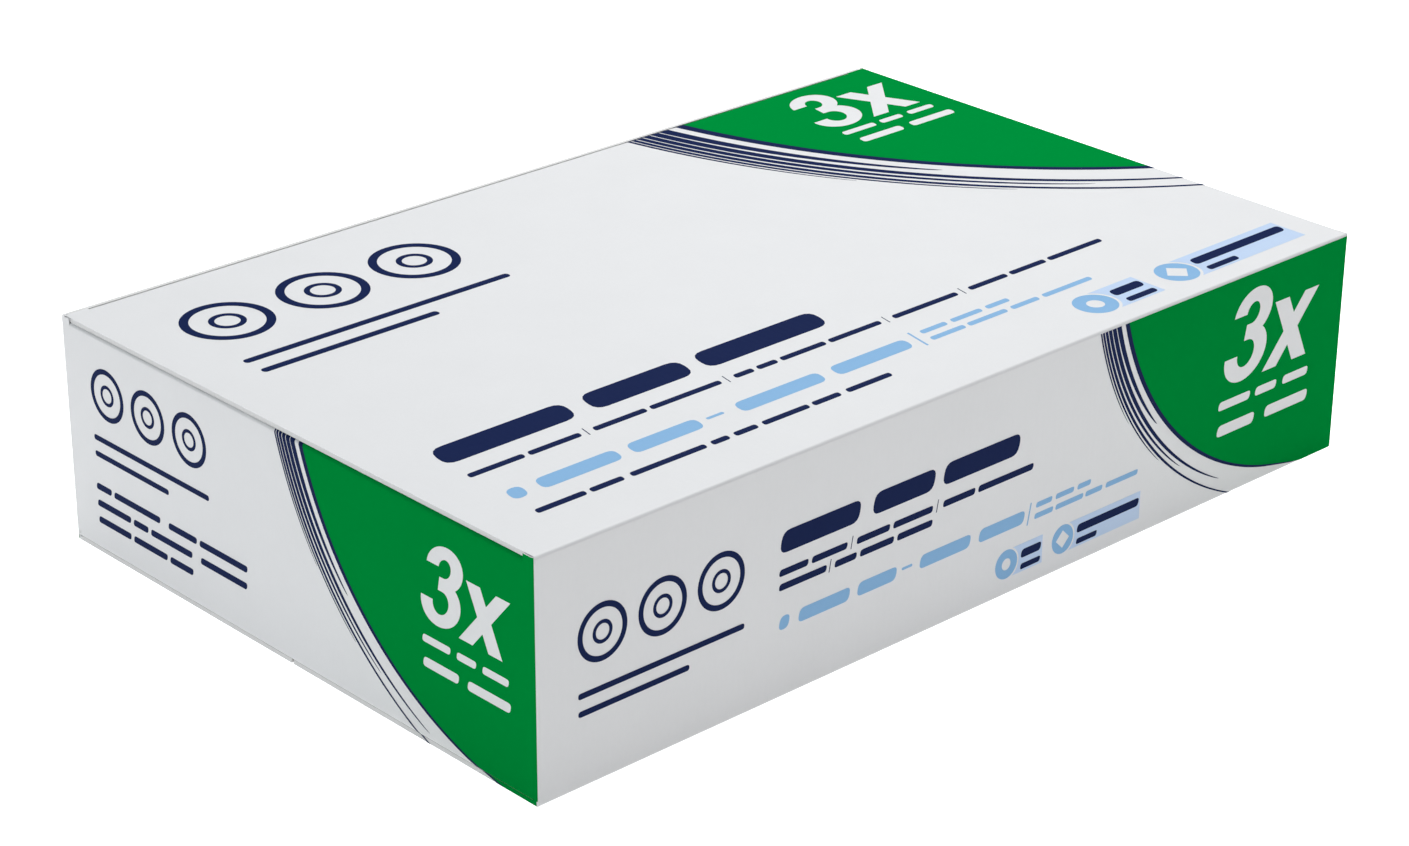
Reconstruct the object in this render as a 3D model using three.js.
// Carton of three cling film refill rolls, closed, standing on its base.
//
// The carton is one sheet of fine-flute corrugated board: four walls folded into a tube and closed by a glued
// seam tab, two pairs of bottom flaps, two dust flaps folded in from the end walls, and a lid creased along the
// front wall whose tuck flap slides down inside the back wall. Three rolls of film on paper cores lie side by
// side along the carton.
//
// Millimetres, +Z up, +X along the rolls, -Y towards the front wall. Origin at the bottom centre.
import * as THREE from 'three';

// Driving dimensions of the carton
const LENGTH = 312; // outside, along X
const WIDTH = 201; // outside, along Y
const HEIGHT = 69; // outside, along Z
const BOARD = 1.1; // board thickness
const GAP = 0.3; // air left between neighbouring sheets
const FOLD_RADIUS = 1.0; // outside radius of a folded vertical corner

// Lid, tuck flap and dust flaps
const LID_SIDE_INSET = 0.6; // the lid is cut a little shorter than the carton at each end
const TUCK_CLEARANCE = 0.5; // between the tuck crease and the back wall
const TUCK_DEPTH = 22;
const TUCK_SIDE_INSET = 8;
const TUCK_TAPER = 2; // the free edge is this much shorter than the crease at each end
const TUCK_CORNER = 11;
const TUCK_LEAN = THREE.MathUtils.degToRad(6); // the tuck flap leans in from vertical
const RIM_STEP = 0.2; // the back wall's cut edge is this much below the lid's top
const DUST_LENGTH = 70;
const DUST_CORNER = 8;
const DUST_FRONT_RELIEF = 4; // distance of the dust flap from the lid crease, at the end wall
const DUST_TAPER = 0.55; // how fast its front edge runs away from the lid crease
const DUST_BACK_RELIEF = 4.1; // distance of its back edge from the outside of the back wall

// Bottom flaps and seam tab
const CENTRE_SEAM = 1.0; // slit between the two outer bottom flaps
const SLOT = 0.5; // half a slot between neighbouring bottom flaps
const BOTTOM_FLAP = WIDTH / 2; // every bottom flap is half as deep as the carton is wide
const TAB_WIDTH = 32;
const TAB_TAPER = 9;
const TAB_CORNER = 3;

// Rolls
const ROLL_RADIUS = 31.5;
const FILM_WIDTH = 300;
const CORE_LENGTH = 305;
const CORE_OUTER = 15;
const CORE_INNER = 13;
const CORE_CLEARANCE = 0.3;
const ROLL_SPACE = 2.2; // in front of the front roll and between the rolls
const ROLL_SEGMENTS = 48;
const LABEL_LENGTH = 40; // start label, along the roll
const LABEL_ARC = 26; // start label, round the roll
const LABEL_THICKNESS = 0.2;
const LABEL_CLEARANCE = 0.25;

// Levels and places worked out from them
const OUTER_FLAP_TOP = BOARD;
const INNER_FLAP_BASE = OUTER_FLAP_TOP + GAP;
const INNER_FLAP_TOP = INNER_FLAP_BASE + BOARD;
const LID_BASE = HEIGHT - BOARD;
const DUST_TOP = LID_BASE - GAP;
const DUST_BASE = DUST_TOP - BOARD;
const FRONT = -WIDTH / 2;
const BACK = WIDTH / 2;
const END = LENGTH / 2;
const ROLL_HEIGHT = INNER_FLAP_TOP + GAP + ROLL_RADIUS;
const ROLL_PITCH = 2 * ROLL_RADIUS + ROLL_SPACE;
const FRONT_ROLL_Y = FRONT + BOARD + ROLL_SPACE + ROLL_RADIUS;

const printedBoard = new THREE.MeshStandardMaterial({ color: 0xe9eaec, roughness: 0.5, metalness: 0 });
const plainBoard = new THREE.MeshStandardMaterial({ color: 0xd9d5cc, roughness: 0.9, metalness: 0 });
const corePaper = new THREE.MeshStandardMaterial({ color: 0xb08a5e, roughness: 0.85, metalness: 0 });
const clingFilm = new THREE.MeshStandardMaterial({ color: 0xdfe6e2, roughness: 0.18, metalness: 0 });
const labelPaper = new THREE.MeshStandardMaterial({ color: 0x008a3a, roughness: 0.6, metalness: 0 });

const carton = new THREE.Group();

// A closed outline as a THREE.Shape. Each corner is [x, y] or [x, y, radius], the radius rounding that corner.
function outline(corners) {
  const shape = new THREE.Shape();
  const at = (i) => corners[(i + corners.length) % corners.length];
  const towards = (a, b, distance) => {
    const length = Math.hypot(b[0] - a[0], b[1] - a[1]);
    return [a[0] + ((b[0] - a[0]) * distance) / length, a[1] + ((b[1] - a[1]) * distance) / length];
  };
  corners.forEach((corner, i) => {
    const radius = corner[2] ?? 0;
    const start = radius ? towards(corner, at(i - 1), radius) : corner;
    if (i === 0) shape.moveTo(start[0], start[1]);
    else shape.lineTo(start[0], start[1]);
    if (radius) {
      const end = towards(corner, at(i + 1), radius);
      shape.quadraticCurveTo(corner[0], corner[1], end[0], end[1]);
    }
  });
  shape.closePath();
  return shape;
}

function rectangle(left, low, right, high) {
  return outline([[left, low], [right, low], [right, high], [left, high]]);
}

function extruded(name, shape, depth, material) {
  const geometry = new THREE.ExtrudeGeometry(shape, { depth, bevelEnabled: false, curveSegments: 6 });
  const mesh = new THREE.Mesh(geometry, material);
  mesh.name = name;
  return mesh;
}

// A sheet that lies flat: its outline is in X and Y, and z is its underside.
function flatSheet(name, shape, z, material, parent = carton) {
  const mesh = extruded(name, shape, BOARD, material);
  mesh.position.z = z;
  parent.add(mesh);
}

// A wall stands on its plan: the outline is its thickness seen from above.
function wall(name, plan, bottom, top, material) {
  const mesh = extruded(name, plan, top - bottom, material);
  mesh.position.z = bottom;
  carton.add(mesh);
}

// --- Walls ---
wall(
  'front_wall',
  outline([
    [-END, FRONT, FOLD_RADIUS],
    [END, FRONT, FOLD_RADIUS],
    [END, FRONT + BOARD],
    [-END, FRONT + BOARD],
  ]),
  INNER_FLAP_BASE,
  DUST_TOP,
  printedBoard,
);
wall(
  'back_wall',
  outline([
    [-END, BACK - BOARD],
    [END - BOARD - GAP, BACK - BOARD],
    [END - BOARD - GAP, BACK],
    [-END, BACK, FOLD_RADIUS],
  ]),
  INNER_FLAP_BASE,
  HEIGHT - RIM_STEP,
  printedBoard,
);
wall(
  'left_end_wall',
  rectangle(-END, FRONT + BOARD + GAP, -END + BOARD, BACK - BOARD - GAP),
  INNER_FLAP_TOP + GAP,
  DUST_BASE - GAP,
  printedBoard,
);
wall(
  'right_end_wall',
  rectangle(END - BOARD, FRONT + BOARD + GAP, END, BACK),
  INNER_FLAP_TOP + GAP,
  DUST_BASE - GAP,
  printedBoard,
);

// The seam tab folds from the back wall and is glued inside the right end wall. Its outline is in Y and Z.
function seamTab() {
  const tabBack = BACK - BOARD - GAP;
  const tabFront = tabBack - TAB_WIDTH;
  const low = INNER_FLAP_TOP + GAP;
  const high = DUST_BASE - GAP;
  const shape = outline([
    [tabFront, low + TAB_TAPER, TAB_CORNER],
    [tabBack, low],
    [tabBack, high],
    [tabFront, high - TAB_TAPER, TAB_CORNER],
  ]);
  const mesh = extruded('seam_glue_tab', shape, BOARD, plainBoard);
  mesh.geometry.rotateX(Math.PI / 2);
  mesh.geometry.rotateZ(Math.PI / 2);
  mesh.position.x = END - 2 * BOARD - GAP;
  carton.add(mesh);
}
seamTab();

// --- Bottom flaps: the front and back pair is outside, the left and right pair inside ---
flatSheet(
  'bottom_flap_front',
  rectangle(-END + SLOT, FRONT, END - SLOT, -CENTRE_SEAM / 2),
  0,
  printedBoard,
);
flatSheet(
  'bottom_flap_back',
  rectangle(-END + SLOT, CENTRE_SEAM / 2, END - SLOT, BACK),
  0,
  printedBoard,
);
for (const [side, sign] of [['left', -1], ['right', 1]]) {
  const inner = sign * (END - BOTTOM_FLAP);
  flatSheet(
    `bottom_flap_${side}`,
    rectangle(
      Math.min(sign * END, inner),
      FRONT + BOARD + GAP,
      Math.max(sign * END, inner),
      BACK - BOARD - GAP,
    ),
    INNER_FLAP_BASE,
    plainBoard,
  );
}

// --- Dust flaps: each turns about the top outside edge of its end wall ---
function dustFlap(side, sign) {
  const hinge = new THREE.Group();
  hinge.position.set(sign * END, 0, DUST_TOP);
  const frontEdge = (reach) => FRONT + DUST_FRONT_RELIEF + DUST_TAPER * reach;
  const backEdge = BACK - DUST_BACK_RELIEF;
  const corners = [
    [0, frontEdge(0)],
    [-sign * DUST_LENGTH, frontEdge(DUST_LENGTH), DUST_CORNER],
    [-sign * DUST_LENGTH, backEdge - DUST_CORNER, DUST_CORNER],
    [-sign * (DUST_LENGTH / 2), backEdge, DUST_CORNER],
    [0, backEdge],
  ];
  flatSheet(`dust_flap_${side}`, outline(corners), -BOARD, plainBoard, hinge);
  carton.add(hinge);
}
dustFlap('left', -1);
dustFlap('right', 1);

// --- Lid: turns about the top outside edge of the front wall and carries the tuck flap ---
const lid = new THREE.Group();
lid.position.set(0, FRONT, HEIGHT);
const lidDepth = WIDTH - BOARD - TUCK_CLEARANCE;
const lidHalf = END - LID_SIDE_INSET;
flatSheet(
  'lid_panel',
  rectangle(-lidHalf, 0, lidHalf, lidDepth),
  -BOARD,
  printedBoard,
  lid,
);

const tuck = new THREE.Group();
tuck.position.set(0, lidDepth, 0);
tuck.rotation.x = -TUCK_LEAN;
const tuckHalf = END - TUCK_SIDE_INSET;
const tuckFlap = extruded(
  'lid_tuck_flap',
  outline([
    [-tuckHalf + TUCK_TAPER, -TUCK_DEPTH, TUCK_CORNER],
    [tuckHalf - TUCK_TAPER, -TUCK_DEPTH, TUCK_CORNER],
    [tuckHalf, -BOARD - GAP],
    [-tuckHalf, -BOARD - GAP],
  ]),
  BOARD,
  plainBoard,
);
tuckFlap.rotation.x = Math.PI / 2;
tuck.add(tuckFlap);
lid.add(tuck);
carton.add(lid);

// --- Rolls ---
// A tube along X, centred on the group that it is added to.
function tube(name, inner, outer, length, material) {
  const half = length / 2;
  const profile = [[inner, -half], [outer, -half], [outer, half], [inner, half], [inner, -half]];
  const points = profile.map(([r, along]) => new THREE.Vector2(r, along));
  const mesh = new THREE.Mesh(new THREE.LatheGeometry(points, ROLL_SEGMENTS), material);
  mesh.name = name;
  mesh.rotation.z = -Math.PI / 2;
  return mesh;
}

// The start label is a paper patch bent round the roll, at its top.
function startLabel(name) {
  const inner = ROLL_RADIUS + LABEL_CLEARANCE;
  const outer = inner + LABEL_THICKNESS;
  const half = LABEL_ARC / ROLL_RADIUS / 2;
  const shape = new THREE.Shape();
  shape.absarc(0, 0, outer, -half, half, false);
  shape.absarc(0, 0, inner, half, -half, true);
  shape.closePath();
  const geometry = new THREE.ExtrudeGeometry(shape, {
    depth: LABEL_LENGTH,
    bevelEnabled: false,
    curveSegments: 12,
  });
  geometry.translate(0, 0, -LABEL_LENGTH / 2);
  geometry.rotateZ(Math.PI / 2);
  geometry.rotateX(Math.PI / 2);
  geometry.rotateZ(Math.PI / 2);
  const mesh = new THREE.Mesh(geometry, labelPaper);
  mesh.name = name;
  return mesh;
}

['front', 'middle', 'back'].forEach((place, i) => {
  const roll = new THREE.Group();
  roll.position.set(0, FRONT_ROLL_Y + i * ROLL_PITCH, ROLL_HEIGHT);
  roll.add(tube(`${place}_roll_core`, CORE_INNER, CORE_OUTER, CORE_LENGTH, corePaper));
  roll.add(tube(`${place}_roll_film`, CORE_OUTER + CORE_CLEARANCE, ROLL_RADIUS, FILM_WIDTH, clingFilm));
  roll.add(startLabel(`${place}_roll_start_label`));
  carton.add(roll);
});

export default carton;
